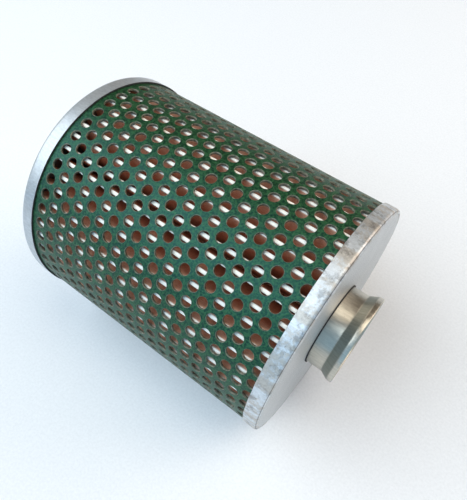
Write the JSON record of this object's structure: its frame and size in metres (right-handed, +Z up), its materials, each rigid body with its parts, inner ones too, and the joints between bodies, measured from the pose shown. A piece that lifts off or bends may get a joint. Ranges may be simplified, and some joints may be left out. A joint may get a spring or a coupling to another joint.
{
  "type": "air filter element",
  "caption": "Cylindrical air filter element: pleated paper inside a green perforated tube, two pressed metal end caps, one blind and one with a short flared neck.",
  "frame": {"origin": "centre of the neck end cap's outer face, on the element's axis", "axes": "+X along the element's axis, out of the neck; +Z up, with the element lying on its side"},
  "size_m": [0.1272, 0.098, 0.098],
  "materials": {
    "cap_sheet_metal": "satin, lightly stained",
    "green_paint": "satin powder coat",
    "core_zinc": "zinc plated",
    "filter_paper": "matte pleated paper",
    "clip_steel": "satin",
    "potting_resin": "matte",
    "neck_steel": "bright, polished by spinning",
    "seal_rubber": "matte"
  },
  "bodies": {
    "root": {"closed_end_cap": "cap_sheet_metal", "neck_end_cap": "cap_sheet_metal", "outer_perforated_tube": "green_paint", "inner_perforated_core": "core_zinc", "pleated_paper": "filter_paper", "paper_seam_clip": "clip_steel", "closed_end_potting": "potting_resin", "neck_end_potting": "potting_resin", "neck_spigot": "neck_steel", "neck_seal_ring": "seal_rubber"}
  },
  "joints": []
}
